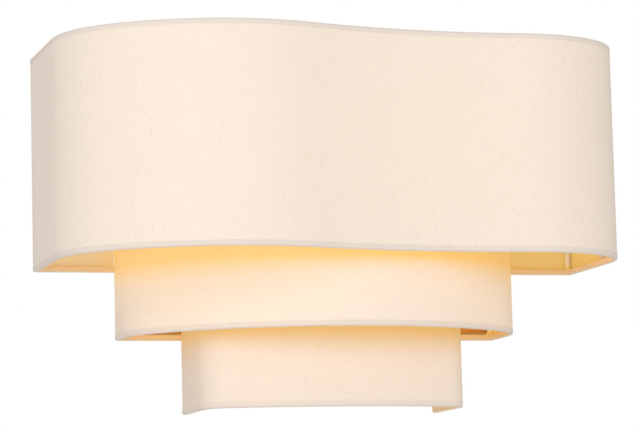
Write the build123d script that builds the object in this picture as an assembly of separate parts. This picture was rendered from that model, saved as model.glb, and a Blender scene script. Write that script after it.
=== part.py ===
from build123d import *
import os
from math import cos, radians, sin

# A wall light with a three-tier fabric shade, in millimetres.
# +X is to the right as seen from the room, +Y runs into the wall and +Z is up.
# The origin is on the wall face, at the middle of the crossbar.

os.makedirs("parts", exist_ok=True)

# How far a cut runs past the face that it goes through.
PAST = 1.0

# ---- shade: heights -------------------------------------------------------
UPPER_TOP_Z = 76.0
UPPER_BOTTOM_Z = -75.0
MIDDLE_TOP_Z = -35.0
MIDDLE_BOTTOM_Z = -123.0
LOWER_TOP_Z = -87.0
LOWER_BOTTOM_Z = -175.0

# ---- shade: plan of the fabric's outer face, from the left back corner ----
UPPER_WIDTH = 400.0
UPPER_LEFT_SIDE = 78.0
UPPER_LEFT_CORNER_R = 73.0
UPPER_LEFT_CORNER_ANGLE = 47.0
UPPER_BULGE_R = 140.0
UPPER_BULGE_ANGLE = 61.0
UPPER_DIP_R = 378.0
UPPER_DIP_ANGLE = 23.5
UPPER_RIGHT_ANGLE = 41.0
UPPER_RIGHT_CORNER_R = 61.0

MIDDLE_WIDTH = 280.0
MIDDLE_OFFSET_X = -2.4
MIDDLE_LEFT_SIDE = 22.0
MIDDLE_LEFT_CORNER_R = 59.0
MIDDLE_LEFT_CORNER_ANGLE = 40.0
MIDDLE_BOW_ANGLE = 91.0
MIDDLE_RIGHT_CORNER_R = 62.0

LOWER_WIDTH = 189.0
LOWER_OFFSET_X = -0.5
LOWER_LEFT_SIDE = 51.0
LOWER_LEFT_CORNER_R = 24.0
LOWER_LEFT_CORNER_ANGLE = 75.0
LOWER_BOW_ANGLE = 33.0
LOWER_RIGHT_CORNER_R = 18.0

# ---- shade: materials and frame -------------------------------------------
FABRIC = 0.7
LINER = 0.5
WIRE_R = 1.2
STRUT_R = 2.0
SEAM_WIDTH = 12.0
SEAM_THICK = 0.4
SEAM_FROM_FRONT = 6.0
PANEL_TOP_BAND = 30.0
PANEL_CLEAR = 0.3
STRAP_WIDTH = 20.0
STRAP_THICK = 2.0
STRAP_GAP = 0.3
JOINING_STRAP_WIDTH = 12.0
JOINING_STRAP_X = 55.0

# ---- wall plate and crossbar ----------------------------------------------
PLATE_WIDTH = 274.0
PLATE_TOP_Z = 50.0
PLATE_BOTTOM_Z = -118.5
PLATE_DEPTH = 13.0
PLATE_THICK = 1.2
PLATE_CORNER_R = 3.5
PLATE_EDGE_R = 2.0
CROSSBAR_WIDTH = 110.0
CROSSBAR_HEIGHT = 22.0
CROSSBAR_THICK = 2.0
CROSSBAR_CORNER_R = 3.0
WALL_SLOT_SPACING = 80.0
WALL_SLOT_LENGTH = 14.0
WALL_SLOT_R = 2.6
CABLE_HOLE_R = 7.0
STUD_R = 2.0
STUD_SPACING = 52.0
STUD_PROUD = 6.0
HEX_SIDES = 6
DOME_NUT_R = 4.6
DOME_NUT_HEX = 4.5
DOME_NUT_DOME_R = 3.6
STUD_HOLE_CLEAR = 0.25

# ---- shade fixing ----------------------------------------------------------
SHADE_STUD_R = 2.5
STUD_FROM_PLATE_EDGE = 16.0
SHADE_STUD_Z = 0.0
LIFT = 12.0
KEYHOLE_CLEAR = 0.2
STUD_HEAD_R = 4.5
STUD_HEAD_THICK = 1.2
KNURLED_NUT_R = 6.5
KNURLED_NUT_THICK = 6.0
KNURL_COUNT = 24
KNURL_R = 0.35
NUT_ENTRY_CLEAR = 0.7
NUT_FACE_GAP = 0.2
THREAD_CLEAR = 0.05

# ---- arm, hub and lampholders ----------------------------------------------
ARM_R = 6.0
ARM_BORE_R = 4.5
ARM_NUT_AF = 17.0
ARM_NUT_THICK = 3.0
ARM_COLLAR_R = 12.0
ARM_COLLAR_THICK = 2.0
HUB_Y = -74.0
HUB_R = 14.0
HUB_HEIGHT = 30.0
HUB_WALL = 2.0
HUB_LID_THICK = 3.0
HUB_LID_SPIGOT = 3.0
NIPPLE_R = 5.0
NIPPLE_BORE_R = 3.5
NIPPLE_GRIP = 8.0
HOLDER_R = 13.0
HOLDER_CAP_LENGTH = 12.0
HOLDER_CAP_NOSE_R = 8.5
GLOBE_GAP = 0.3
HOLDER_WALL = 2.0
INSERT_THICK = 6.0
LAMP_CAP_R = 7.0
LAMP_CAP_LENGTH = 24.0
LAMP_CAP_CLEAR = 0.08
LAMP_FOOT_R = 3.5
LAMP_FOOT_LENGTH = 3.0
LAMP_SEAT_GAP = 0.3
GLOBE_R = 22.5
GLOBE_NECK_R = 8.2
GLOBE_SHOULDER_ANGLE = 35.0
LAMP_LENGTH = 75.0

# ---- wiring ----------------------------------------------------------------
LEAD_R = 0.9
LEAD_BEND_R = 6.0
LEAD_PITCH = 2.0
LEAD_LAYER_Y = -4.4
LEAD_LAYER_STEP = 2.2
LEAD_LEVEL_Z = -13.5
LEAD_LEVEL_STEP = 3.5
TERMINAL_X = 45.0
TERMINAL_TOP_Z = -36.0
TERMINAL_WIDTH = 27.0
TERMINAL_HEIGHT = 18.0
TERMINAL_DEPTH = 9.6
TERMINAL_WAY = 8.0
TERMINAL_SCREW_R = 1.8
TERMINAL_SCREW_LENGTH = 3.5
SCREW_SLOT = 0.8
EARTH_X = 84.0
EARTH_Z = -12.0
EARTH_SCREW_R = 2.0
EARTH_HEAD_R = 3.6
EARTH_TAG_R = 4.4
EARTH_TAG_THICK = 0.8
EARTH_BARREL = 6.0
EARTH_BARREL_CLEAR = 0.2
EARTH_LEAD_Y = -9.4
EARTH_HEAD_THICK = 2.4

# ---- worked out from the values above --------------------------------------
SHADE_STUD_X = PLATE_WIDTH / 2 - STUD_FROM_PLATE_EDGE
SKIN = FABRIC + LINER
RING_INSET = SKIN + WIRE_R
RAIL_INSET = SKIN + WIRE_R / 2
STRUT_INSET = SKIN + STRUT_R
HEM_INSET = SKIN + 2 * WIRE_R + FABRIC
HEM = 2 * WIRE_R + 2 * FABRIC
PLATE_FACE_Y = -PLATE_DEPTH
STRAP_BACK_Y = PLATE_FACE_Y - STRAP_GAP
SHADE_BACK_Y = STRAP_BACK_Y - STRAP_THICK
PLATE_INNER_Y = PLATE_FACE_Y + PLATE_THICK
ARM_REAR_Y = PLATE_INNER_Y + ARM_NUT_THICK
ARM_FRONT_Y = HUB_Y + HUB_R - HUB_WALL
HOLDER_X = HUB_R + HOLDER_CAP_LENGTH
LAMP_X = HOLDER_X + INSERT_THICK + LAMP_SEAT_GAP
HOLDER_END_X = LAMP_X + LAMP_CAP_LENGTH - GLOBE_GAP
NIPPLE_START_X = HUB_R - HUB_WALL
NIPPLE_END_X = NIPPLE_START_X + NIPPLE_GRIP


class Tier:
    """One half drum of the shade: its heights, and its plan as bends that turn from left to right."""

    def __init__(self, name, top, bottom, offset_x, width, left_side, bends):
        self.name = name
        self.top = top
        self.bottom = bottom
        self.offset_x = offset_x
        self.half = width / 2
        self.left_side = left_side
        self.bends = self.close(bends)

    def close(self, bends):
        """Fill in the last bend's turn, and the open radius, so that the sides end parallel."""
        turns = [turn for radius, turn in bends[:-1]]
        bends = bends[:-1] + [(bends[-1][0], 180.0 - sum(turns))]
        heading = -90.0
        known = 0.0
        share = 1.0
        for radius, turn in bends:
            reach = sin(radians(heading + turn)) - sin(radians(heading))
            if radius is None:
                share = reach
            else:
                known += radius * (reach if turn > 0 else -reach)
            heading += turn
        open_radius = (2 * self.half - known) / share
        return [(open_radius if radius is None else radius, turn) for radius, turn in bends]

    def path(self, inset, back):
        """The plan outline, set in from the fabric's face, with its ends `back` from the back edge."""
        end_y = SHADE_BACK_Y - back
        corner = Vector(self.offset_x - self.half + inset, SHADE_BACK_Y - self.left_side)
        edges = [Line((corner.X, end_y), corner)]
        heading = -90.0
        for radius, turn in self.bends:
            bent = radius - inset if turn > 0 else radius + inset
            along = (cos(radians(heading)), sin(radians(heading)))
            arc = JernArc(corner, along, bent, turn)
            edges.append(arc)
            corner = arc @ 1
            heading += turn
        edges.append(Line(corner, (corner.X, end_y)))
        return edges

    def prism(self, inset, back, low, high):
        """A solid D of the plan between two heights."""
        edges = self.path(inset, back)
        edges.append(Line(edges[-1] @ 1, edges[0] @ 0))
        face = Pos(0, 0, low) * make_face(edges)
        return extrude(face, amount=high - low, dir=(0, 0, 1))

    def wall(self, outer, inner, low, high, back=0.0, inner_back=-PAST):
        """A wall that follows the plan; it is open at the back where `inner_back` lies past the edge."""
        return self.prism(outer, back, low, high) - self.prism(inner, inner_back, low - PAST, high + PAST)

    def side_x(self, side, inset):
        """The X of the tier's straight left or right side, set in from the fabric's face."""
        return self.offset_x + side * (self.half - inset)


UPPER = Tier("upper", UPPER_TOP_Z, UPPER_BOTTOM_Z, 0.0, UPPER_WIDTH, UPPER_LEFT_SIDE,
             [(UPPER_LEFT_CORNER_R, UPPER_LEFT_CORNER_ANGLE), (UPPER_BULGE_R, UPPER_BULGE_ANGLE),
              (UPPER_DIP_R, -UPPER_DIP_ANGLE), (None, UPPER_RIGHT_ANGLE), (UPPER_RIGHT_CORNER_R, None)])
MIDDLE = Tier("middle", MIDDLE_TOP_Z, MIDDLE_BOTTOM_Z, MIDDLE_OFFSET_X, MIDDLE_WIDTH, MIDDLE_LEFT_SIDE,
              [(MIDDLE_LEFT_CORNER_R, MIDDLE_LEFT_CORNER_ANGLE), (None, MIDDLE_BOW_ANGLE),
               (MIDDLE_RIGHT_CORNER_R, None)])
LOWER = Tier("lower", LOWER_TOP_Z, LOWER_BOTTOM_Z, LOWER_OFFSET_X, LOWER_WIDTH, LOWER_LEFT_SIDE,
             [(LOWER_LEFT_CORNER_R, LOWER_LEFT_CORNER_ANGLE), (None, LOWER_BOW_ANGLE),
              (LOWER_RIGHT_CORNER_R, None)])
TIERS = (UPPER, MIDDLE, LOWER)
BELOW = {"upper": MIDDLE, "middle": LOWER}
ABOVE = {"middle": UPPER, "lower": MIDDLE}


def box(x0, x1, y0, y1, z0, z1):
    """A box between two corners."""
    middle = Pos((x0 + x1) / 2, (y0 + y1) / 2, (z0 + z1) / 2)
    return middle * Box(abs(x1 - x0), abs(y1 - y0), abs(z1 - z0))


def rod(start, end, radius):
    """A round bar from one point to another."""
    along = Vector(*end) - Vector(*start)
    plane = Plane(origin=start, z_dir=along)
    return extrude(plane * Circle(radius), amount=along.length)


def tube(start, end, radius, bore):
    """A round tube from one point to another."""
    return rod(start, end, radius) - rod(start, end, bore)


def save(name, shape):
    shape.label = name
    export_step(shape, "parts/" + name + ".step")


# ---- shade -----------------------------------------------------------------

def rail_notch(tier):
    """The space through a tier's sides where the back rail of the tier above meets its struts."""
    above = ABOVE[tier.name]
    low = above.bottom + FABRIC
    return box(tier.side_x(-1, -PAST), tier.side_x(1, -PAST),
               SHADE_BACK_Y + PAST, SHADE_BACK_Y - FABRIC - 2 * WIRE_R, low, low + 2 * WIRE_R)


def skin_layer(tier, outer, inner):
    """One layer of a tier's skin, from hem to hem."""
    layer = tier.wall(outer, inner, tier.bottom + FABRIC, tier.top - FABRIC)
    return layer - rail_notch(tier) if tier.name in ABOVE else layer


def rail_gap(tier, inset):
    """The stretch of a bottom rail that isn't there, between the sides of the tier below."""
    below = BELOW[tier.name]
    return box(below.side_x(-1, inset), below.side_x(1, inset), SHADE_BACK_Y + PAST,
               SHADE_BACK_Y - HEM - PAST, tier.bottom - PAST, tier.bottom + HEM + PAST)


def has_rail(tier, edge):
    """Every hoop but the lowest closes along the wall."""
    return edge == "top" or tier.name in BELOW


def hem(tier, edge):
    """The fabric turned in over an edge, round the hoop wire and round the back rail."""
    low = tier.bottom if edge == "bottom" else tier.top - HEM
    high = low + HEM
    closed = has_rail(tier, edge)
    inner_back = HEM if closed else -PAST
    turned_low = low if edge == "bottom" else high - FABRIC
    tucked_low = high - FABRIC if edge == "bottom" else low
    shape = tier.wall(0, HEM_INSET, turned_low, turned_low + FABRIC, 0.0, inner_back)
    shape += tier.wall(SKIN, HEM_INSET, tucked_low, tucked_low + FABRIC, 0.0, inner_back)
    inside_start = HEM - FABRIC if closed else 0.0
    shape += tier.wall(HEM_INSET - FABRIC, HEM_INSET, low, high, inside_start, inner_back)
    if closed:
        shape += box(tier.side_x(-1, SKIN), tier.side_x(1, SKIN),
                     SHADE_BACK_Y, SHADE_BACK_Y - FABRIC, low, high)
    if edge == "bottom" and closed:
        shape -= rail_gap(tier, 0)
    return shape


def hoop(tier, edge):
    """The frame wire in a hem, with its back rail where there is one."""
    z = tier.bottom + HEM / 2 if edge == "bottom" else tier.top - HEM / 2
    rail_y = SHADE_BACK_Y - HEM / 2
    path = tier.path(RING_INSET, FABRIC)
    section = Plane(origin=path[0] @ 0, z_dir=(0, -1, 0)) * Circle(WIRE_R)
    wire = sweep(section, path=Wire(path))
    if has_rail(tier, edge):
        wire += rod((tier.side_x(-1, RAIL_INSET), rail_y, 0),
                    (tier.side_x(1, RAIL_INSET), rail_y, 0), WIRE_R)
    wire = Pos(0, 0, z) * wire
    if edge == "bottom" and has_rail(tier, edge):
        wire -= rail_gap(tier, SKIN)
    return wire


def struts(tier):
    """The two upright wires at a tier's back corners, from hem to hem."""
    y = SHADE_BACK_Y - STRUT_INSET
    return Compound(children=[
        rod((tier.side_x(side, STRUT_INSET), y, tier.bottom + HEM),
            (tier.side_x(side, STRUT_INSET), y, tier.top - HEM), STRUT_R)
        for side in (-1, 1)])


def back_panel_layer(near, far):
    """One layer of the upper tier's back panel, cut out round the wall plate and the middle tier."""
    low = UPPER.bottom + HEM
    high = UPPER.top - HEM
    behind = SHADE_BACK_Y + PAST
    front = SHADE_BACK_Y - SKIN - PAST
    strap_edge = SHADE_STUD_X + STRAP_WIDTH / 2
    layer = box(UPPER.side_x(-1, SKIN), UPPER.side_x(1, SKIN),
                SHADE_BACK_Y - near, SHADE_BACK_Y - far, low, high)
    layer -= box(-strap_edge, strap_edge, behind, front, low - PAST, high - PANEL_TOP_BAND)
    layer -= box(MIDDLE.side_x(-1, -PANEL_CLEAR), MIDDLE.side_x(1, -PANEL_CLEAR), behind, front,
                 low - PAST, MIDDLE.top + PANEL_CLEAR)
    return layer


def mounting_strap(side):
    """A flat strap behind the two top rails, with the keyhole that hangs the shade on its stud."""
    x = side * SHADE_STUD_X
    strap = box(x - STRAP_WIDTH / 2, x + STRAP_WIDTH / 2, STRAP_BACK_Y, SHADE_BACK_Y,
                MIDDLE.top - HEM, UPPER.top)
    slot_r = SHADE_STUD_R + KEYHOLE_CLEAR
    entry_r = KNURLED_NUT_R + NUT_ENTRY_CLEAR
    front = SHADE_BACK_Y - PAST
    behind = STRAP_BACK_Y + PAST
    slot = rod((x, behind, SHADE_STUD_Z), (x, front, SHADE_STUD_Z), slot_r)
    slot += box(x - slot_r, x + slot_r, behind, front, SHADE_STUD_Z - LIFT, SHADE_STUD_Z)
    slot += rod((x, behind, SHADE_STUD_Z - LIFT), (x, front, SHADE_STUD_Z - LIFT), entry_r)
    return strap - slot


def joining_straps():
    """Two flat straps that carry the lower tier's top rail from the middle tier's."""
    half_width = JOINING_STRAP_WIDTH / 2
    return Compound(children=[
        box(side * JOINING_STRAP_X - half_width, side * JOINING_STRAP_X + half_width,
            STRAP_BACK_Y, SHADE_BACK_Y, LOWER.top - HEM, MIDDLE.top)
        for side in (-1, 1)])


def seam_tapes():
    """The tape behind the seam of each tier, on the right side between the hems."""
    tapes = []
    for tier in TIERS:
        inner_x = tier.side_x(1, SKIN)
        front_y = (tier.path(0, 0)[-1] @ 0).Y + SEAM_FROM_FRONT
        tapes.append(box(inner_x - SEAM_THICK, inner_x, front_y, front_y + SEAM_WIDTH,
                         tier.bottom + HEM, tier.top - HEM))
    return Compound(children=tapes)


for tier in TIERS:
    save(tier.name + "_cover", skin_layer(tier, 0, FABRIC))
    save(tier.name + "_liner", skin_layer(tier, FABRIC, SKIN))
    save(tier.name + "_struts", struts(tier))
    for edge in ("top", "bottom"):
        save(tier.name + "_" + edge + "_hem", hem(tier, edge))
        save(tier.name + "_" + edge + "_hoop", hoop(tier, edge))
save("upper_back_panel", back_panel_layer(0, FABRIC))
save("upper_back_liner", back_panel_layer(FABRIC, SKIN))
save("seam_tapes", seam_tapes())
save("left_mounting_strap", mounting_strap(-1))
save("right_mounting_strap", mounting_strap(1))
save("joining_straps", joining_straps())


# ---- wall plate and crossbar -------------------------------------------------

def across_wall(shape):
    """Turn a shape drawn in plan so that its Z runs out of the wall, with its top up."""
    return Rot(90, 0, 0) * shape


def crossbar():
    """The flat bar that is screwed to the wall, with two slots, a cable hole and two stud holes."""
    outline = RectangleRounded(CROSSBAR_WIDTH, CROSSBAR_HEIGHT, CROSSBAR_CORNER_R)
    bar = extrude(outline, amount=CROSSBAR_THICK)
    for side in (-1, 1):
        slot = SlotOverall(WALL_SLOT_LENGTH, 2 * WALL_SLOT_R)
        bar -= Pos(side * WALL_SLOT_SPACING / 2, 0, 0) * extrude(slot, amount=CROSSBAR_THICK)
        bar -= Pos(side * STUD_SPACING / 2, 0, 0) * extrude(Circle(STUD_R), amount=CROSSBAR_THICK)
    bar -= extrude(Circle(CABLE_HOLE_R), amount=CROSSBAR_THICK)
    return across_wall(bar)


def crossbar_studs():
    """The two studs pressed into the crossbar, through the wall plate."""
    tip_y = PLATE_FACE_Y - STUD_PROUD
    return Compound(children=[
        rod((side * STUD_SPACING / 2, 0, 0), (side * STUD_SPACING / 2, tip_y, 0), STUD_R)
        for side in (-1, 1)])


def dome_nut(x):
    """A dome nut on a crossbar stud, against the wall plate."""
    hexagon = extrude(RegularPolygon(DOME_NUT_R, HEX_SIDES), amount=DOME_NUT_HEX)
    dome = Pos(0, 0, DOME_NUT_HEX) * Sphere(DOME_NUT_DOME_R, arc_size1=0)
    stud = Cylinder(STUD_R, STUD_PROUD, align=(Align.CENTER, Align.CENTER, Align.MIN))
    return Pos(x, PLATE_FACE_Y, 0) * across_wall(hexagon + dome - stud)


def plate_holes():
    """The holes through the wall plate's face: for the studs, the arm and the shade studs."""
    front = PLATE_FACE_Y - PAST
    behind = PLATE_INNER_Y + PAST
    holes = [rod((0, behind, 0), (0, front, 0), ARM_R)]
    for side in (-1, 1):
        stud_x = side * STUD_SPACING / 2
        shade_stud_x = side * SHADE_STUD_X
        holes.append(rod((stud_x, behind, 0), (stud_x, front, 0), STUD_R + STUD_HOLE_CLEAR))
        holes.append(rod((shade_stud_x, behind, SHADE_STUD_Z), (shade_stud_x, front, SHADE_STUD_Z),
                         SHADE_STUD_R))
    return holes


def wall_plate():
    """The pressed pan against the wall, open at the back, with a rounded rim."""
    height = PLATE_TOP_Z - PLATE_BOTTOM_Z
    middle_z = (PLATE_TOP_Z + PLATE_BOTTOM_Z) / 2
    pan = extrude(RectangleRounded(PLATE_WIDTH, height, PLATE_CORNER_R), amount=PLATE_DEPTH)
    pan = fillet(pan.faces().sort_by(Axis.Z)[-1].edges(), PLATE_EDGE_R)
    inner = RectangleRounded(PLATE_WIDTH - 2 * PLATE_THICK, height - 2 * PLATE_THICK,
                             PLATE_CORNER_R - PLATE_THICK)
    hollow = extrude(inner, amount=PLATE_DEPTH - PLATE_THICK)
    hollow = fillet(hollow.faces().sort_by(Axis.Z)[-1].edges(), PLATE_EDGE_R - PLATE_THICK)
    pan = Pos(0, 0, middle_z) * across_wall(pan - hollow)
    for hole in plate_holes():
        pan -= hole
    return pan


def shade_studs():
    """The two studs that the shade hangs on, each with its head behind the wall plate's face."""
    studs = []
    tip_y = SHADE_BACK_Y - NUT_FACE_GAP - KNURLED_NUT_THICK
    for side in (-1, 1):
        x = side * SHADE_STUD_X
        seat = (x, PLATE_INNER_Y, SHADE_STUD_Z)
        stud = rod(seat, (x, tip_y, SHADE_STUD_Z), SHADE_STUD_R)
        stud += rod((x, PLATE_INNER_Y + STUD_HEAD_THICK, SHADE_STUD_Z), seat, STUD_HEAD_R)
        studs.append(stud)
    return Compound(children=studs)


def knurled_nut(side):
    """The knurled nut on a shade stud, in front of its strap."""
    nut = Cylinder(KNURLED_NUT_R, KNURLED_NUT_THICK, align=(Align.CENTER, Align.CENTER, Align.MIN))
    grooves = PolarLocations(KNURLED_NUT_R, KNURL_COUNT)
    nut -= [place * Cylinder(KNURL_R, 4 * KNURLED_NUT_THICK) for place in grooves]
    nut -= Cylinder(SHADE_STUD_R + THREAD_CLEAR, 4 * KNURLED_NUT_THICK)
    seat = Pos(side * SHADE_STUD_X, SHADE_BACK_Y - NUT_FACE_GAP, SHADE_STUD_Z)
    return seat * across_wall(nut)


save("crossbar", crossbar())
save("crossbar_studs", crossbar_studs())
save("dome_nuts", Compound(children=[dome_nut(side * STUD_SPACING / 2) for side in (-1, 1)]))
save("wall_plate", wall_plate())
save("shade_studs", shade_studs())
save("left_knurled_nut", knurled_nut(-1))
save("right_knurled_nut", knurled_nut(1))


# ---- arm, hub and lampholders --------------------------------------------------

def arm():
    """The hollow arm through the wall plate, as far as the inside of the hub."""
    return tube((0, ARM_REAR_Y, 0), (0, ARM_FRONT_Y, 0), ARM_R, ARM_BORE_R)


def arm_nut():
    """The flat nut on the arm, behind the wall plate's face."""
    nut = extrude(RegularPolygon(ARM_NUT_AF / 2, HEX_SIDES, major_radius=False), amount=ARM_NUT_THICK)
    nut -= Cylinder(ARM_R, 4 * ARM_NUT_THICK)
    return Pos(0, PLATE_INNER_Y + ARM_NUT_THICK, 0) * across_wall(nut)


def arm_collar():
    """The collar on the arm, in front of the wall plate."""
    collar = Cylinder(ARM_COLLAR_R, ARM_COLLAR_THICK, align=(Align.CENTER, Align.CENTER, Align.MIN))
    collar = chamfer(collar.faces().sort_by(Axis.Z)[-1].edges(), ARM_COLLAR_THICK / 2)
    collar -= Cylinder(ARM_R, 4 * ARM_COLLAR_THICK)
    return Pos(0, PLATE_FACE_Y, 0) * across_wall(collar)


def hub():
    """The hollow cup that joins the arm to the two nipples, open at the top."""
    foot = (0, HUB_Y, -HUB_HEIGHT / 2)
    mouth = (0, HUB_Y, HUB_HEIGHT / 2)
    floor = (0, HUB_Y, HUB_WALL - HUB_HEIGHT / 2)
    cup = rod(foot, mouth, HUB_R)
    cup -= rod(floor, (0, HUB_Y, HUB_HEIGHT / 2 + PAST), HUB_R - HUB_WALL)
    cup -= rod((0, HUB_Y + HUB_R + PAST, 0), (0, HUB_Y, 0), ARM_R)
    cup -= rod((-HUB_R - PAST, HUB_Y, 0), (HUB_R + PAST, HUB_Y, 0), NIPPLE_R)
    return cup


def hub_lid():
    """The turned lid that closes the hub."""
    rim = Cylinder(HUB_R, HUB_LID_THICK, align=(Align.CENTER, Align.CENTER, Align.MIN))
    rim = fillet(rim.faces().sort_by(Axis.Z)[-1].edges(), HUB_LID_THICK / 2)
    spigot = Cylinder(HUB_R - HUB_WALL, HUB_LID_SPIGOT, align=(Align.CENTER, Align.CENTER, Align.MAX))
    return Pos(0, HUB_Y, HUB_HEIGHT / 2) * (rim + spigot)


def nipples():
    """The two hollow threaded nipples between the hub and the lampholders."""
    return Compound(children=[
        tube((side * NIPPLE_START_X, HUB_Y, 0), (side * NIPPLE_END_X, HUB_Y, 0),
             NIPPLE_R, NIPPLE_BORE_R)
        for side in (-1, 1)])


def turned(points, side):
    """A solid turned about the lampholders' axis, from points of (distance along X, radius)."""
    profile = make_face(Polyline(*points, close=True))
    solid = revolve(profile, axis=Axis.X, revolution_arc=360)
    if side < 0:
        solid = solid.mirror(Plane.YZ)
    return Pos(0, HUB_Y, 0) * solid


def holder_cap(side):
    """The cap screwed on the nipple, which carries the lampholder's body."""
    return turned([(HUB_R, NIPPLE_R), (HUB_R, HOLDER_CAP_NOSE_R), (HOLDER_X, HOLDER_R),
                   (HOLDER_X, HOLDER_R - HOLDER_WALL), (NIPPLE_END_X, HOLDER_CAP_NOSE_R),
                   (NIPPLE_END_X, NIPPLE_R)], side)


def holder_body(side):
    """The lampholder's body with its screw bore."""
    bore = LAMP_CAP_R + LAMP_CAP_CLEAR
    step_x = HOLDER_X + INSERT_THICK
    return turned([(HOLDER_X, HOLDER_R - HOLDER_WALL), (HOLDER_X, HOLDER_R), (HOLDER_END_X, HOLDER_R),
                   (HOLDER_END_X, bore), (step_x, bore), (step_x, HOLDER_R - HOLDER_WALL)], side)


def holder_insert(side):
    """The insulating disc that holds the contacts, with the leads' ends let into it."""
    start = HOLDER_X
    end = HOLDER_X + INSERT_THICK
    radius = HOLDER_R - HOLDER_WALL
    disc = turned([(start, 0), (start, radius), (end, radius), (end, 0)], side)
    for y in (HUB_Y - LEAD_PITCH / 2, HUB_Y + LEAD_PITCH / 2):
        disc -= rod((side * (start - PAST), y, 0), (side * (start + INSERT_THICK / 2), y, 0), LEAD_R)
    return disc


def lamp_cap(side):
    """The screw cap of a lamp, with its foot contact."""
    end = LAMP_X + LAMP_CAP_LENGTH
    return turned([(LAMP_X, 0), (LAMP_X, LAMP_FOOT_R), (LAMP_X + LAMP_FOOT_LENGTH, LAMP_CAP_R),
                   (end, LAMP_CAP_R), (end, 0)], side)


def lamp_globe(side):
    """The opal envelope of a lamp: a neck that runs out into a ball."""
    start = LAMP_X + LAMP_CAP_LENGTH
    end = LAMP_X + LAMP_LENGTH
    middle = end - GLOBE_R
    slope = radians(GLOBE_SHOULDER_ANGLE)
    shoulder = (middle - GLOBE_R * cos(slope), GLOBE_R * sin(slope))
    edges = [Line((start, 0), (start, GLOBE_NECK_R)), Line((start, GLOBE_NECK_R), shoulder),
             ThreePointArc(shoulder, (middle, GLOBE_R), (end, 0)), Line((end, 0), (start, 0))]
    solid = revolve(make_face(edges), axis=Axis.X, revolution_arc=360)
    if side < 0:
        solid = solid.mirror(Plane.YZ)
    return Pos(0, HUB_Y, 0) * solid


SIDES = {"left": -1, "right": 1}
save("arm", arm())
save("arm_nut", arm_nut())
save("arm_collar", arm_collar())
save("hub", hub())
save("hub_lid", hub_lid())
save("nipples", nipples())
for name, side in SIDES.items():
    save(name + "_holder_cap", holder_cap(side))
    save(name + "_holder_body", holder_body(side))
    save(name + "_holder_insert", holder_insert(side))
    save(name + "_lamp_cap", lamp_cap(side))
    save(name + "_lamp_globe", lamp_globe(side))


# ---- wiring ---------------------------------------------------------------------

def swept_wire(points, radius, bend_r):
    """A round wire along straight runs joined by tangent arcs."""
    route = FilletPolyline(*points, radius=bend_r)
    first = Vector(*points[0])
    section = Plane(origin=first, z_dir=Vector(*points[1]) - first) * Circle(radius)
    wire = sweep(section, path=route)
    share = wire.volume / (route.length * section.area)
    print("wire of length", round(route.length, 1), "bent to", bend_r, "volume share", round(share, 3))
    return wire


def lead(side, pole):
    """A lead from the terminal block, through the arm and the hub, to a lampholder's contact."""
    layer_y = LEAD_LAYER_Y if side < 0 else LEAD_LAYER_Y - LEAD_LAYER_STEP
    level_z = LEAD_LEVEL_Z if pole > 0 else LEAD_LEVEL_Z - LEAD_LEVEL_STEP
    bore_x = (side + pole / 2) * LEAD_PITCH
    way_x = TERMINAL_X + pole * TERMINAL_WAY / 2 + side * LEAD_R
    turn_y = HUB_Y + side * pole * LEAD_PITCH / 2
    end_x = side * (HOLDER_X + INSERT_THICK / 2)
    points = [(way_x, layer_y, TERMINAL_TOP_Z), (way_x, layer_y, level_z), (bore_x, layer_y, level_z),
              (bore_x, layer_y, 0), (bore_x, turn_y, 0), (end_x, turn_y, 0)]
    return swept_wire(points, LEAD_R, LEAD_BEND_R)


def earth_lead():
    """The lead from the terminal block's third way to the earth tag."""
    way_x = TERMINAL_X + 1.5 * TERMINAL_WAY
    end_x = EARTH_X - EARTH_TAG_R - EARTH_BARREL
    points = [(way_x, EARTH_LEAD_Y, TERMINAL_TOP_Z), (way_x, EARTH_LEAD_Y, EARTH_Z),
              (end_x, EARTH_LEAD_Y, EARTH_Z)]
    return swept_wire(points, LEAD_R, LEAD_BEND_R)


def terminal_block():
    """The three-way terminal block behind the wall plate's face, with its ways left as blind holes."""
    left = TERMINAL_X - TERMINAL_WAY
    face_y = PLATE_INNER_Y + TERMINAL_DEPTH
    block = box(left, left + TERMINAL_WIDTH, PLATE_INNER_Y, face_y,
                TERMINAL_TOP_Z - TERMINAL_HEIGHT, TERMINAL_TOP_Z)
    for x, z in terminal_screw_places():
        block -= rod((x, face_y + PAST, z), (x, face_y - TERMINAL_SCREW_LENGTH, z), TERMINAL_SCREW_R)
    return block


def terminal_screw_places():
    """Two clamp screws for each of the three ways."""
    rows = [TERMINAL_TOP_Z - share * TERMINAL_HEIGHT for share in (0.25, 0.75)]
    return [(TERMINAL_X + way * TERMINAL_WAY, z) for way in (-0.5, 0.5, 1.5) for z in rows]


def terminal_screws():
    """The clamp screws, each with a slot across its head."""
    screws = []
    face_y = PLATE_INNER_Y + TERMINAL_DEPTH
    for x, z in terminal_screw_places():
        screw = rod((x, face_y - TERMINAL_SCREW_LENGTH, z), (x, face_y, z), TERMINAL_SCREW_R)
        half_slot = SCREW_SLOT / 2
        reach = 2 * TERMINAL_SCREW_R
        screws.append(screw - box(x - half_slot, x + half_slot, face_y - SCREW_SLOT, face_y + PAST,
                                  z - reach, z + reach))
    return Compound(children=screws)


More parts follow.
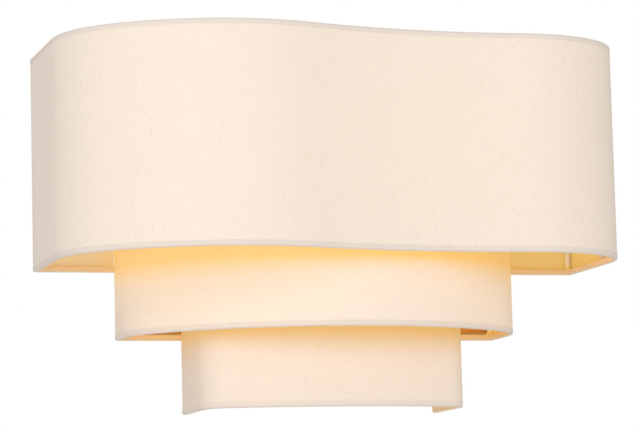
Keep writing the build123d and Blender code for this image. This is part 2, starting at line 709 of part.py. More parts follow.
def earth_tag():
    """The ring tag under the earth screw, with the barrel that grips the earth lead."""
    seat = (EARTH_X, PLATE_INNER_Y, EARTH_Z)
    tag = rod(seat, (EARTH_X, PLATE_INNER_Y + EARTH_TAG_THICK, EARTH_Z), EARTH_TAG_R)
    barrel_start = EARTH_X - EARTH_TAG_R - EARTH_BARREL
    barrel_end = EARTH_X - EARTH_HEAD_R - EARTH_BARREL_CLEAR
    grip = LEAD_R + EARTH_TAG_THICK
    tag += box(barrel_start, barrel_end, PLATE_INNER_Y, EARTH_LEAD_Y + grip,
               EARTH_Z - grip, EARTH_Z + grip)
    return tag - rod(seat, (EARTH_X, 0, EARTH_Z), EARTH_SCREW_R)


def earth_screw():
    """The screw that clamps the earth tag to the wall plate."""
    head_y = PLATE_INNER_Y + EARTH_TAG_THICK
    shank = rod((EARTH_X, PLATE_INNER_Y, EARTH_Z), (EARTH_X, head_y, EARTH_Z), EARTH_SCREW_R)
    crown_y = head_y + EARTH_HEAD_THICK
    head = rod((EARTH_X, head_y, EARTH_Z), (EARTH_X, crown_y, EARTH_Z), EARTH_HEAD_R)
    half_slot = SCREW_SLOT / 2
    head -= box(EARTH_X - half_slot, EARTH_X + half_slot, crown_y - SCREW_SLOT, crown_y + PAST,
                EARTH_Z - EARTH_HEAD_R, EARTH_Z + EARTH_HEAD_R)
    return shank + head


for name, side in SIDES.items():
    save(name + "_live_lead", lead(side, 1))
    save(name + "_neutral_lead", lead(side, -1))
save("earth_lead", earth_lead())
save("terminal_block", terminal_block())
save("terminal_screws", terminal_screws())
save("earth_tag", earth_tag())
save("earth_screw", earth_screw())
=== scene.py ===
from math import cos, pi, radians, sin

import bmesh
import bpy
from bpy.props import FloatProperty, FloatVectorProperty, PointerProperty
from mathutils import Matrix, Vector


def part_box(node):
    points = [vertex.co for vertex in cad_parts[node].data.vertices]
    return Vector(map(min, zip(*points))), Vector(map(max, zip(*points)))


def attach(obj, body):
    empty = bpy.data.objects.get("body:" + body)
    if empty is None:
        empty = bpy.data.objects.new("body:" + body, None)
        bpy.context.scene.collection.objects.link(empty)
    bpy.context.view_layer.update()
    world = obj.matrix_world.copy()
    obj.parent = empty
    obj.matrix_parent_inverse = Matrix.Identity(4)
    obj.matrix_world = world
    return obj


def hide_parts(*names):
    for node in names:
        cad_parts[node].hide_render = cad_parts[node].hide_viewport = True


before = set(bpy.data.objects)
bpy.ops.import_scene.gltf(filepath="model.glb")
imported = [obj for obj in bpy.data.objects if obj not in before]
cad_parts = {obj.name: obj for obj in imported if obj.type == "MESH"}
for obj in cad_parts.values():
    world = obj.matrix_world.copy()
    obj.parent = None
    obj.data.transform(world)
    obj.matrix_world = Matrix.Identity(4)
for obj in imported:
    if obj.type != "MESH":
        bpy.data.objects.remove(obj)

bl_info = {
    "name": "Tiered Fabric Wall Light",
    "version": (1, 0, 0),
    "blender": (4, 5, 0),
    "location": "View3D > Sidebar > Wall Light",
    "description": "Dresses a wall light with its three-tier fabric shade, lamps, metalwork "
                   "and stage",
    "category": "Add Mesh",
}

MM = 0.001


def painted(red, green, blue):
    """A colour written as a picture shows it, from 0 to 255, as the light values of a shader."""
    return tuple(((c / 255 + 0.055) / 1.055) ** 2.4 if c > 10 else c / 255 / 12.92
                 for c in (red, green, blue))


def toned(colour, factor, lift=0.0):
    """The colour made darker or paler by a factor, and lifted."""
    return tuple(min(1.0, c * factor + lift) for c in colour)


def filtered(colour, sheet):
    """The colour as seen through a tinted sheet."""
    return tuple(c * d for c, d in zip(colour, sheet))


# ---- settings -----------------------------------------------------------------

def length(name, description, default):
    return FloatProperty(name=name, description=description, default=default, min=0.0,
                         unit="LENGTH", subtype="DISTANCE", precision=5)


def tint(name, description, default):
    return FloatVectorProperty(name=name, description=description, default=default, size=3,
                               min=0.0, max=1.0, subtype="COLOR")


def amount(name, description, default):
    return FloatProperty(name=name, description=description, default=default, min=0.0)


class ShadeSettings(bpy.types.PropertyGroup):
    """Sizes of the sewn and wrapped parts of the shade."""
    cloth: length("Cloth", "Thickness of the shade cloth", 0.7 * MM)
    hem_height: length("Hem", "Height of the cloth turned in round the hoop wire", 3.8 * MM)
    hem_depth: length("Hem depth", "Depth of the hem from the face inwards", 4.3 * MM)
    hem_proud: length("Hem proud", "How far the double cloth stands out from the face", 0.14 * MM)
    edge_roll: length("Edge roll", "Radius of the cloth's roll round the back edges", 0.9 * MM)
    pocket: length("Pocket", "Height of the cloth folded round the foot of a strut", 3.0 * MM)
    seam_width: length("Seam", "Width of the seam's overlap", 9.0 * MM)
    seam_proud: length("Seam proud", "How far the overlap stands out from the face", 0.22 * MM)


class ClothSettings(bpy.types.PropertyGroup):
    """Colours and thread of the shade cloth."""
    natural: tint("Natural", "Colour of the unbleached thread", painted(243, 228, 213))
    turned: tint("Hem", "Colour of the cloth where it is turned in double", painted(231, 218, 207))
    fleck: tint("Fleck", "Colour of the seed flecks in the thread", painted(178, 126, 74))
    amber: tint("Lamp light", "Colour of the light that comes through the cloth",
                (0.86, 0.455, 0.02))
    pale_glow: tint("Pale glow", "The same light further down, where it thins out",
                    (0.86, 0.66, 0.42))
    thread: length("Thread", "Distance from one thread to the next", 0.75 * MM)


class FinishSettings(bpy.types.PropertyGroup):
    """Colours of the metal, plastic and glass."""
    brass: tint("Brass", "Satin brass of the wall plate, arm and hub", painted(224, 172, 96))
    zinc: tint("Zinc", "Plated steel of the crossbar", painted(172, 174, 178))
    nickel: tint("Nickel", "Plated nuts, screws and lamp caps", painted(205, 201, 193))
    powder: tint("Powder coat", "White coat on the wire frame and straps", painted(236, 233, 226))
    lining: tint("Lining", "Translucent sheet behind the cloth", painted(246, 235, 210))
    opal: tint("Opal", "Lit opal envelope of the lamps", (1.0, 0.66, 0.28))


class StageSettings(bpy.types.PropertyGroup):
    """The camera's place and the light on the stage."""
    eye: FloatVectorProperty(name="Eye", description="Where the camera stands", size=3,
                             default=(-0.5714, -2.0153, -0.2974), subtype="TRANSLATION",
                             unit="LENGTH")
    lens: FloatProperty(name="Lens", description="Focal length in millimetres for a 36 mm sensor",
                        default=164.44, min=1.0)
    turn: FloatVectorProperty(name="Turn", description="Yaw, pitch and roll of the camera", size=3,
                              default=(-0.28257, -0.12663, -0.02514), subtype="EULER",
                              unit="ROTATION")
    sky: amount("Sky", "Strength of the even light from all round", 0.5)
    key: amount("Key", "Power of the large soft light in watts", 29.0)
    floor: length("Floor", "How far the floor lies below the wall plate's middle", 1.4)


# ---- shader tools ---------------------------------------------------------------

class Value:
    """A node's output, on which Python's arithmetic adds Math nodes."""

    def __init__(self, finish, socket):
        self.finish = finish
        self.socket = socket

    def math(self, operation, *values):
        return self.finish.node("ShaderNodeMath", {"operation": operation}, *values)

    def __add__(self, other):
        return self.math("ADD", self, other)

    def __radd__(self, other):
        return self.math("ADD", other, self)

    def __sub__(self, other):
        return self.math("SUBTRACT", self, other)

    def __rsub__(self, other):
        return self.math("SUBTRACT", other, self)

    def __mul__(self, other):
        return self.math("MULTIPLY", self, other)

    def __truediv__(self, other):
        return self.math("DIVIDE", self, other)

    def __rtruediv__(self, other):
        return self.math("DIVIDE", other, self)

    def __pow__(self, other):
        return self.math("POWER", self, other)

    def clamp(self, low=0.0, high=1.0):
        return self.math("MINIMUM", self.math("MAXIMUM", self, low), high)

    def wave(self):
        return self.math("SINE", self)

    def fade(self):
        """e to this power."""
        return self.math("EXPONENT", self)

    def step(self, start, end):
        """A smooth step from 0 at start to 1 at end."""
        return self.finish.node("ShaderNodeMapRange", {"interpolation_type": "SMOOTHSTEP"},
                                self, start, end, 0.0, 1.0)


class Finish:
    """One material: a Principled surface whose constants are set on its own sockets."""

    def __init__(self, name, **constants):
        self.material = bpy.data.materials.new(name)
        self.material.use_nodes = True
        self.tree = self.material.node_tree
        self.tree.nodes.clear()
        self.surface = self.tree.nodes.new("ShaderNodeBsdfPrincipled")
        end = self.tree.nodes.new("ShaderNodeOutputMaterial")
        self.tree.links.new(self.surface.outputs[0], end.inputs[0])
        for name, value in constants.items():
            self.surface.inputs[name.replace("_", " ")].default_value = value

    def put(self, socket, value):
        if isinstance(value, Value):
            self.tree.links.new(value.socket, socket)
        elif hasattr(socket.default_value, "__len__") and not hasattr(value, "__len__"):
            socket.default_value = (value,) * len(socket.default_value)
        elif hasattr(value, "__len__") and len(value) < len(socket.default_value):
            socket.default_value = (*value, 1.0)
        else:
            socket.default_value = value

    def node(self, kind, settings, *values, output=0, **named):
        """Add a node with its settings, and its sockets' values or links in order or by name."""
        made = self.tree.nodes.new(kind)
        for key, setting in settings.items():
            setattr(made, key, setting)
        for socket, value in zip(made.inputs, values):
            self.put(socket, value)
        for key, value in named.items():
            self.put(made.inputs[key.replace("_", " ")], value)
        return Value(self, made.outputs[output])

    def mix(self, factor, first, second):
        """A colour from the first at 0 to the second at 1."""
        made = self.tree.nodes.new("ShaderNodeMix")
        made.data_type = "RGBA"
        for index, value in ((0, factor), (6, first), (7, second)):
            self.put(made.inputs[index], value)
        return Value(self, made.outputs[2])

    def place(self):
        """The point in the object's own frame."""
        return self.node("ShaderNodeTexCoord", {}, output=3)

    def along_cloth(self):
        """The distance along and up the cloth, in metres."""
        return self.node("ShaderNodeUVMap", {"uv_map": "cloth"})

    def parts(self, vector):
        made = self.tree.nodes.new("ShaderNodeSeparateXYZ")
        self.put(made.inputs[0], vector)
        return [Value(self, socket) for socket in made.outputs]

    def stretch(self, vector, scale):
        return self.node("ShaderNodeVectorMath", {"operation": "MULTIPLY"}, vector, scale)

    def noise(self, vector, scale, detail=3.0, roughness=0.55):
        return self.node("ShaderNodeTexNoise", {}, Vector=vector, Scale=scale, Detail=detail,
                         Roughness=roughness)

    def away(self, vector, point):
        """The distance from a point."""
        return self.node("ShaderNodeVectorMath", {"operation": "DISTANCE"}, vector, point, output=1)

    def cells(self, vector, scale, output=0):
        return self.node("ShaderNodeTexVoronoi", {}, Vector=vector, Scale=scale, output=output)

    def feed(self, name, value):
        self.put(self.surface.inputs[name], value)

    def bump(self, height, distance, strength=1.0):
        self.feed("Normal", self.node("ShaderNodeBump", {}, Strength=strength, Distance=distance,
                                      Height=height))

    def near_lamps(self, point):
        """How near a point is to the two lamps: large beside one, and falling with the square."""
        near = 0.0
        for place in LAMP_PLACES:
            gap = self.away(point, place) / LAMP_REACH
            near = near + 1.0 / (gap * gap + LAMP_SIZE)
        return near

    def done(self):
        return self.material


BLACK = (0.0, 0.0, 0.0)
LAMP_PLACES = [(side * 60 * MM, -74 * MM, -4 * MM) for side in (-1, 1)]
LAMP_REACH = 0.1
LAMP_SIZE = 0.35


class Spill:
    """Lamp light that comes past the rim of the tier above.

    Its reach in mm is least at the X where that tier's rim is nearest, and grows by the left or
    the right factor away from there. The glow is painted lamp light in the cloth's emission. Shade
    is how much of the room's light the rim keeps off, as a painted shadow that darkens the cloth's
    colour, and thin is how soon the glow turns pale on its way down.
    """

    FALL = 1.3           # how sharply the glow ends
    END_X = 0.15         # by this X the glow has lost the share below, on either side
    END_LOSS = 0.14
    RIGHT_X = 0.12       # by this X the rim keeps off this much more of the room's light
    RIGHT_SHADE = 0.3

    def __init__(self, rim, strength, reach, nearest, left, right, shade=0.6, thin=1.0):
        self.rim = rim
        self.strength = strength
        self.reach = reach * MM
        self.nearest = nearest * MM
        self.left = left
        self.right = right
        self.shade = shade
        self.thin = thin

    def share(self, finish):
        """The painted lamp glow's share of a point's light, the rim's painted shadow there, and how
        thin the glow is.
        """
        x, _, z = finish.parts(finish.place())
        off = x - self.nearest
        reach = off.math("MAXIMUM", off * -self.left, off * self.right) + self.reach
        down = (self.rim - z).clamp() / reach
        ends = 1.0 - x * x / (self.END_X * self.END_X) * self.END_LOSS
        share = (0.0 - down ** self.FALL).fade() * ends * self.strength
        far_right = (x / self.RIGHT_X).clamp()
        # Painted shadow of the rim above, deeper towards the right.
        painted_rim_shadow = share * (far_right * far_right * self.RIGHT_SHADE + self.shade)
        return share, painted_rim_shadow, (down * self.thin).clamp()


def cloth_finish(name, colour, spill=None, through=0.0, inner=0.0):
    """Woven cloth with slubs and seed flecks, with a painted glow of the lamps behind it, on its
    inward faces and past the rim above, and the rim's painted shadow.
    """
    look = bpy.context.scene.cloth_settings
    lit = 1.0 if through or inner or spill else 0.0
    cloth = Finish(name, Roughness=0.92, Sheen_Weight=0.18, Sheen_Roughness=0.6,
                   Specular_IOR_Level=0.18, Emission_Strength=lit)
    uv = cloth.along_cloth()
    u, v, _ = cloth.parts(uv)
    turns = 2 * pi / look.thread
    drift = cloth.noise(uv, 60.0, 2.0) * 1.6
    warp = (u * turns + drift).wave()
    weft = (v * turns + drift).wave()
    long, fine = 90.0, 1400.0
    weft_slub = cloth.noise(cloth.stretch(uv, (long, fine, 1.0)), 1.0, 2.0)
    warp_slub = cloth.noise(cloth.stretch(uv, (fine, long, 1.0)), 1.0, 2.0)
    slub = (weft_slub + warp_slub) * 0.5
    mottle = cloth.noise(uv, 28.0, 3.0)
    grain = cloth.noise(uv, 1300.0, 2.0)
    spread = cloth.stretch(uv, (1.0, 1.5, 1.0))
    seeds = 420.0
    from_seed = cloth.cells(spread, seeds)
    chance = cloth.parts(cloth.cells(spread, seeds, output=1))[0]
    fleck = (1.0 - from_seed.step(0.08, 0.24)) * chance.step(0.55, 0.95)
    uneven = (slub - 0.5) * 0.5 + (mottle - 0.5) * 0.08 + (grain - 0.5) * 0.3 + warp * weft * 0.02
    base = cloth.mix((uneven + 0.5).clamp(), toned(colour, 0.84), toned(colour, 1.08))
    base = cloth.mix((fleck * 0.52).clamp(), base, look.fleck)
    if spill:
        share, painted_rim_shadow, thin = spill.share(cloth)
        share = (share * (0.9 + slub * 0.2)).clamp()
        # Painted shadow of the rim above: the base colour darkened towards black.
        base = cloth.mix(painted_rim_shadow.clamp(), base, BLACK)
    if inner:
        # Painted lamp light on the faces turned inwards: the base colour is tinted amber there.
        lamp_lit_inside = cloth.node("ShaderNodeAttribute", {"attribute_name": "inner"}, output=2)
        base = cloth.mix(lamp_lit_inside * 0.3, base, look.amber)
    cloth.feed("Base Color", base)
    cloth.feed("Roughness", (0.96 - slub * 0.14).clamp())
    height = warp * weft * 0.5 + slub * 1.3 + fleck * 0.8
    cloth.bump(height, 0.00022, 0.5)
    if lit:
        near = cloth.near_lamps(cloth.place())
        level = near * through
        # Painted glow of the lamps on the inward faces.
        if inner:
            level = level + near * lamp_lit_inside * inner
        glow = look.amber
        if spill:
            level = level + share
            glow = cloth.mix(thin, look.amber, look.pale_glow)
        cloth.feed("Emission Color", cloth.mix(level.clamp(), BLACK, glow))
    return cloth.done()


def lining_finish(name, glow):
    """The stiff translucent sheet inside the cloth, with a painted glow of the lamps, and painted
    warmer lamp light towards the right.
    """
    look = bpy.context.scene.finish_settings
    cloth = bpy.context.scene.cloth_settings
    sheet = Finish(name, Roughness=0.55, Emission_Strength=1.0)
    point = sheet.place()
    long, fine = 90.0, 900.0
    thread = sheet.noise(sheet.stretch(point, (fine, fine, long)), 1.0, 2.0)
    cross = sheet.noise(sheet.stretch(point, (long, long, fine)), 1.0, 2.0)
    cloud = sheet.noise(point, 22.0, 3.0)
    grain = (thread + cross) * 0.5
    # Painted lamp light: towards the right the sheet is tinted a deeper amber, and its glow is
    # stronger.
    lamp_warmth_right = sheet.parts(point)[0].step(-0.14, 0.17)
    plain = sheet.mix((grain * 0.6 + cloud * 0.4).clamp(), toned(look.lining, 0.86), look.lining)
    lamp_warmed_lining = filtered(look.lining, (0.86, 0.80, 0.48))
    sheet.feed("Base Color", sheet.mix(lamp_warmth_right * 0.8, plain, lamp_warmed_lining))
    sheet.feed("Roughness", (0.42 + cloud * 0.22).clamp())
    sheet.bump(grain, 0.00012, 0.4)
    level = sheet.near_lamps(point) * glow * (0.85 + grain * 0.3) * (0.85 + lamp_warmth_right * 0.3)
    sheet.feed("Emission Color", sheet.mix(level.clamp(), BLACK, cloth.amber))
    return sheet.done()


def metal_finish(name, colour, rough, grain, axis=0, wear=0.0):
    """Metal with a brushed or turned grain along one axis, tarnish in clouds and fine scratches."""
    metal = Finish(name, Metallic=1.0, Roughness=rough)
    point = metal.place()
    along = tuple(30.0 if i == axis else grain for i in range(3))
    lines = metal.noise(metal.stretch(point, along), 1.0, 2.0)
    cloud = metal.noise(point, 26.0, 4.0)
    spots = metal.noise(point, 240.0, 3.0)
    tone = (cloud - 0.5) * 0.5 + (lines - 0.5) * 0.35 + 0.5
    base = metal.mix(tone.clamp(), toned(colour, 0.72), toned(colour, 1.12, 0.01))
    if wear:
        base = metal.mix(spots.step(0.60, 0.78) * wear, base, toned(colour, 0.5))
    metal.feed("Base Color", base)
    metal.feed("Roughness", (rough - 0.1 + lines * 0.14 + cloud * 0.12).clamp(0.05, 1.0))
    metal.bump(lines * 0.7 + spots * 0.3, 0.00005, 0.35)
    return metal.done()


def coat_finish(name, colour, rough, peel):
    """Powder coat or moulded plastic: a fine peel in the surface, and handling marks."""
    coat = Finish(name, Roughness=rough)
    point = coat.place()
    peel_height = coat.noise(point, peel, 3.0)
    cloud = coat.noise(point, 35.0, 3.0)
    specks = coat.noise(point, 900.0, 2.0)
    tone = (cloud * 0.7 + specks * 0.3).clamp()
    coat.feed("Base Color", coat.mix(tone, toned(colour, 0.90), toned(colour, 1.06)))
    coat.feed("Roughness", (rough - 0.08 + cloud * 0.18).clamp())
    coat.bump(peel_height, 0.0001, 0.3)
    return coat.done()


def earth_finish():
    """Green insulation with a yellow stripe that winds along it."""
    sleeve = Finish("earth_sleeve", Roughness=0.4)
    point = sleeve.place()
    x, y, z = sleeve.parts(point)
    band = ((x * 500.0 + z * 500.0) + (y + 0.0094) * 2200.0).wave()
    cloud = sleeve.noise(point, 160.0, 3.0)
    base = sleeve.mix(band.step(-0.1, 0.1), painted(54, 128, 50), painted(226, 196, 40))
    sleeve.feed("Base Color", sleeve.mix((cloud * 0.4).clamp(), base, painted(96, 110, 60)))
    sleeve.feed("Roughness", (0.3 + cloud * 0.25).clamp())
    sleeve.bump(cloud, 0.0001, 0.3)
    return sleeve.done()


def opal_finish():
    """Opal glass, lit from within: brightest over the lamp's middle, warmer at the neck."""
    look = bpy.context.scene.finish_settings
    opal = Finish("opal_glass", Roughness=0.32, Emission_Strength=8.0, Coat_Roughness=0.12)
    point = opal.place()
    x = opal.parts(point)[0]
    out = opal.node("ShaderNodeMath", {"operation": "ABSOLUTE"}, x)
    full = out.step(0.052, 0.078)
    cloud = opal.noise(point, 45.0, 3.0)
    opal.feed("Base Color", opal.mix(cloud, painted(240, 234, 220), painted(250, 246, 236)))
    neck = filtered(look.opal, (0.55, 0.42, 0.30))
    opal.feed("Emission Color", opal.mix((full * 0.85 + cloud * 0.15).clamp(), neck, look.opal))
    opal.feed("Roughness", (0.2 + cloud * 0.2).clamp())
    opal.feed("Coat Weight", (0.3 + cloud * 0.2).clamp())
    opal.bump(cloud, 0.0002, 0.2)
    return opal.done()


# ---- the shade's plan -----------------------------------------------------------

BACK_Y = -15.3 * MM
TO_LEFT = 180.0
TO_ROOM = -90.0
STEP = 3.5 * MM
SEAM_BACK = 6 * MM
TAPE_WIDTH = 12 * MM
TAPE_THICK = 0.4 * MM


class Tier:
    """One half drum: heights and sides from the frame, and its plan as bends of (radius, turn)."""

    def __init__(self, name, left_side, bends):
        self.name = name
        low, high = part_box(name + "_cover")
        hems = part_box(name + "_bottom_hem")[0].z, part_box(name + "_top_hem")[1].z
        self.bottom, self.top = hems
        self.left, self.right = low.x, high.x
        self.left_side = left_side * MM
        self.bends = self.close([(None if r is None else r * MM, turn) for r, turn in bends])

    def close(self, bends):
        """Fill in the last turn and the one open radius, so that the two sides end parallel."""
        bends[-1] = (bends[-1][0], 180.0 - sum(turn for _, turn in bends[:-1]))
        heading, known, share = TO_ROOM, 0.0, 1.0
        for radius, turn in bends:
            reach = sin(radians(heading + turn)) - sin(radians(heading))
            if radius is None:
                share = reach
            else:
                known += radius * (reach if turn > 0 else -reach)
            heading += turn
        open_radius = (self.right - self.left - known) / share
        return [(open_radius if radius is None else radius, turn) for radius, turn in bends]

    def right_side(self):
        """The length of the straight right side."""
        heading, y = TO_ROOM, -self.left_side
        for radius, turn in self.bends:
            signed = radius if turn > 0 else -radius
            y += signed * (cos(radians(heading)) - cos(radians(heading + turn)))
            heading += turn
        return -y

    def face(self):
        """The moves along the front, from one end of the plan to the other."""
        moves = [("run", self.left_side)]
        moves += [("turn", radius, turn) for radius, turn in self.bends]
        moves.append(("run", self.right_side()))
        return moves


UPPER = Tier("upper", 78.0, [(73.0, 47.0), (140.0, 61.0), (378.0, -23.5), (None, 41.0),
                             (61.0, None)])
MIDDLE = Tier("middle", 22.0, [(59.0, 40.0), (None, 91.0), (62.0, None)])
LOWER = Tier("lower", 51.0, [(24.0, 75.0), (None, 33.0), (18.0, None)])
TIERS = (UPPER, MIDDLE, LOWER)
BELOW = {"upper": MIDDLE, "middle": LOWER}


class Sweep:
    """Carries a section along runs and turns, and keeps the way travelled for the cloth's map."""

    def __init__(self, start, heading):
        self.bm = bmesh.new()
        self.travelled = self.bm.verts.layers.float.new("travelled")
        self.across = self.bm.verts.layers.float.new("across")
        self.inner = self.bm.verts.layers.float.new("inner")
        self.place = Vector(start)
        self.heading = heading
        self.gone = 0.0
        self.verts = []
        self.edges = []
        self.folds = []
        self.girth = 0.0

    def forward(self):
        return Vector((cos(radians(self.heading)), sin(radians(self.heading)), 0.0))

    def inward(self):
        return Vector((-sin(radians(self.heading)), cos(radians(self.heading)), 0.0))

    def at(self, inset, z):
        return self.place + self.inward() * inset + Vector((0, 0, z))

    def open_section(self, points):
        """A line of points, each (inset, height)."""
        self.verts = [self.bm.verts.new(self.at(*point)) for point in points]
        self.edges = [self.bm.edges.new(pair) for pair in zip(self.verts, self.verts[1:])]
        for vert, (inset, z) in zip(self.verts, points):
            vert[self.across] = z

    def bead_section(self, near, far, low, high, outer, inner, soft_low):
        """A closed section, with edges of the outer radius on the open side of the hem."""
        corners = [(near, low), (far, low), (far, high), (near, high)]
        verts = [self.bm.verts.new(self.at(*corner)) for corner in corners]
        self.bm.faces.new(verts)
        below, above = (outer, inner) if soft_low else (inner, outer)
        for pair, radius in ((verts[:2], below), (verts[2:], above)):
            bmesh.ops.bevel(self.bm, geom=pair, offset=radius, offset_type="OFFSET", segments=4,
                            profile=0.5, affect="VERTICES", material=-1)
        face = self.bm.faces[:][0]
        self.bm.faces.ensure_lookup_table()
        loop = list(face.verts)
        reach = 0.0
        for vert, following in zip(loop, loop[1:] + loop[:1]):
            vert[self.across] = reach
            vert[self.inner] = float((vert.co - self.place).dot(self.inward()) > far / 2)
            reach += (following.co - vert.co).length
        self.girth = reach
        self.verts = loop
        self.edges = list(face.edges)
        return face

    def run(self, distance, step=12 * MM):
        count = max(1, round(distance / step))
        for _ in range(count):
            made = bmesh.ops.extrude_edge_only(self.bm, edges=self.edges)["geom"]
            self.take(made, distance / count)
            self.place = self.place + self.forward() * distance / count
            for vert in self.verts:
                vert.co += self.forward() * (self.place - vert.co).dot(self.forward())

    def turn(self, radius, angle):
        signed = radius if angle > 0 else -radius
        centre = self.place + self.inward() * signed
        count = max(4, round(abs(radians(angle)) * radius / STEP))
        for _ in range(count):
            made = bmesh.ops.spin(self.bm, geom=self.verts + self.edges, cent=centre,
                                  axis=(0, 0, 1), angle=radians(angle) / count, steps=1,
                                  use_duplicate=False)["geom_last"]
            self.take(made, abs(radians(angle)) * radius / count)
            turned = Matrix.Rotation(radians(angle) / count, 3, "Z")
            self.place = centre + turned @ (self.place - centre)
            self.heading += angle / count

    def mitre(self):
        """Shear the section at a square corner to the left, and head round it."""
        for vert in self.verts:
            vert.co -= self.forward() * (vert.co - self.place).dot(self.inward())
        self.heading += 90.0
        self.folds += self.edges

    def take(self, made, distance):
        self.verts = [item for item in made if isinstance(item, bmesh.types.BMVert)]
        self.edges = [item for item in made if isinstance(item, bmesh.types.BMEdge)]
        self.gone += distance
        for vert in self.verts:
            vert[self.travelled] = self.gone

    def follow(self, moves):
        for kind, *sizes in moves:
            getattr(self, kind)(*sizes)

    def cap(self):
        bmesh.ops.contextual_create(self.bm, geom=self.edges)

    def map_cloth(self):
        """The cloth's map: the distance along, and the distance across the section."""
        layer = self.bm.loops.layers.uv.new("cloth")
        for face in self.bm.faces:
            across = [loop.vert[self.across] for loop in face.loops]
            wraps = self.girth and max(across) - min(across) > self.girth / 2
            for loop, reach in zip(face.loops, across):
                if wraps and reach < self.girth / 2:
                    reach += self.girth
                loop[layer].uv = (loop.vert[self.travelled], reach)

    def finish(self, name, finish, slot):
        self.map_cloth()
        return make_piece(self.bm, name, finish)


def make_piece(bm, name, finish):
    """Turn a bmesh into a piece with its finish, riding on the shade."""
    mesh = bpy.data.meshes.new(name)
    bm.to_mesh(mesh)
    bm.free()
    mesh.shade_smooth()
    mesh.set_sharp_from_angle(angle=radians(40.0))
    piece = bpy.data.objects.new(name, mesh)
    bpy.context.scene.collection.objects.link(piece)
    piece.data.materials.append(finish)
    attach(piece, "shade")
    return piece


def soften(bm, edges, offset, segments=2):
    """Round edges off."""
    bmesh.ops.bevel(bm, geom=edges, offset=offset, segments=segments, profile=0.5,
                    affect="EDGES", material=-1)


def lay_cloth(bm, along):
    """A flat map for a small piece of cloth: a distance along, and the height."""
    layer = bm.loops.layers.uv.new("cloth")
    for face in bm.faces:
        for loop in face.loops:
            loop[layer].uv = (along(loop.vert.co), loop.vert.co.z)


def outward(bm, inside):
    """Turn the faces of an open sheet away from a point inside it."""
    bm.normal_update()
    score = sum(face.normal.dot(face.calc_center_median() - inside) * face.calc_area()
                for face in bm.faces)
    if score < 0:
        bmesh.ops.reverse_faces(bm, faces=bm.faces)


def tier_cover(tier, finish):
    """The cloth of one tier, stretched from hoop to hoop, with its slight unevenness."""
    look = bpy.context.scene.shade_settings
    turned_in = 0.5 * MM
    row_height = 5 * MM
    sweep = Sweep((tier.left + look.cloth + turned_in, BACK_Y, 0), TO_LEFT)
    low = tier.bottom + look.cloth
    high = tier.top - look.cloth
    rows = round((high - low) / row_height)
    sweep.open_section([(0.0, low + (high - low) * row / rows) for row in range(rows + 1)])
    roll = ("turn", look.edge_roll, 90.0)
    flap = ("run", look.cloth + turned_in - look.edge_roll)
    left, *bends, right = tier.face()
    sides = [("run", side[1] - look.edge_roll) for side in (left, right)]
    sweep.follow([flap, roll, sides[0], *bends, sides[1], roll, flap])
    middle = Vector(((tier.left + tier.right) / 2, BACK_Y, (low + high) / 2))
    outward(sweep.bm, middle)
    sweep.bm.normal_update()
    short_wave, long_wave = 0.083, 0.231
    for vert in sweep.bm.verts:
        share = (vert.co.z - low) / (high - low)
        slack = sin(pi * share) ** 2
        gone = vert[sweep.travelled]
        ripple = (sin(gone * 2 * pi / short_wave + tier.top * 40)
                  * sin(gone * 2 * pi / long_wave))
        vert.co += vert.normal * slack * ripple * 0.22 * MM
    flat = (sweep.gone, high - low)
    piece = sweep.finish(tier.name + "_shade_cloth", finish, "linen")
    wall = piece.modifiers.new("thickness", "SOLIDIFY")
    wall.thickness = look.cloth
    wall.offset = -1.0
    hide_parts(tier.name + "_cover")
    return piece, flat


def hem_moves(tier, edge):
    """Where a hem starts, its first heading, its moves, and whether it closes.

    A top hem goes all round. A bottom hem has a back rail on each side of the tier below it, and
    the lowest tier's has none.
    """
    face = tier.face()
    if edge == "bottom" and tier.name not in BELOW:
        return (tier.left, BACK_Y, 0), TO_ROOM, face, False
    if edge == "top":
        start = (tier.left + tier.right) / 2
        rails = [(tier.right - tier.left) / 2] * 2
    else:
        below = BELOW[tier.name]
        start = below.left
        rails = [below.left - tier.left, tier.right - below.right]
    moves = [("run", rails[0]), ("mitre",), *face, ("mitre",), ("run", rails[1])]
    return (start, BACK_Y, 0), TO_LEFT, moves, edge == "top"


def tier_hem(tier, edge, finish):
    """The cloth turned in round the hoop wire along one edge of a tier."""
    look = bpy.context.scene.shade_settings
    start, heading, moves, closed = hem_moves(tier, edge)
    sweep = Sweep(start, heading)
    low = tier.bottom if edge == "bottom" else tier.top - look.hem_height
    first = sweep.bead_section(-look.hem_proud, look.hem_depth, low, low + look.hem_height,
                               outer=1.5 * MM, inner=0.2 * MM, soft_low=edge == "bottom")
    sweep.follow(moves)
    if closed:
        bmesh.ops.delete(sweep.bm, geom=[first], context="FACES_ONLY")
        sweep.map_cloth()
        bmesh.ops.remove_doubles(sweep.bm, verts=sweep.bm.verts, dist=0.01 * MM)
    else:
        sweep.cap()
        sweep.map_cloth()
    soften(sweep.bm, sweep.folds, 1.0 * MM, 3)
    bmesh.ops.recalc_face_normals(sweep.bm, faces=sweep.bm.faces)
    piece = make_piece(sweep.bm, tier.name + "_" + edge + "_hem_cloth", finish)
    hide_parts(tier.name + "_" + edge + "_hem")
    return piece


def strip(name, low, high, edge, finish):
    """A thin strip of cloth between two corners, with softened edges."""
    bm = bmesh.new()
    bmesh.ops.create_cube(bm, size=1.0)
    low, high = Vector(low), Vector(high)
    bmesh.ops.scale(bm, vec=high - low, verts=bm.verts)
    bmesh.ops.translate(bm, vec=(low + high) / 2, verts=bm.verts)
    soften(bm, bm.edges[:], edge)
    lay_cloth(bm, lambda co: co.y + co.x)
    return make_piece(bm, name, finish)


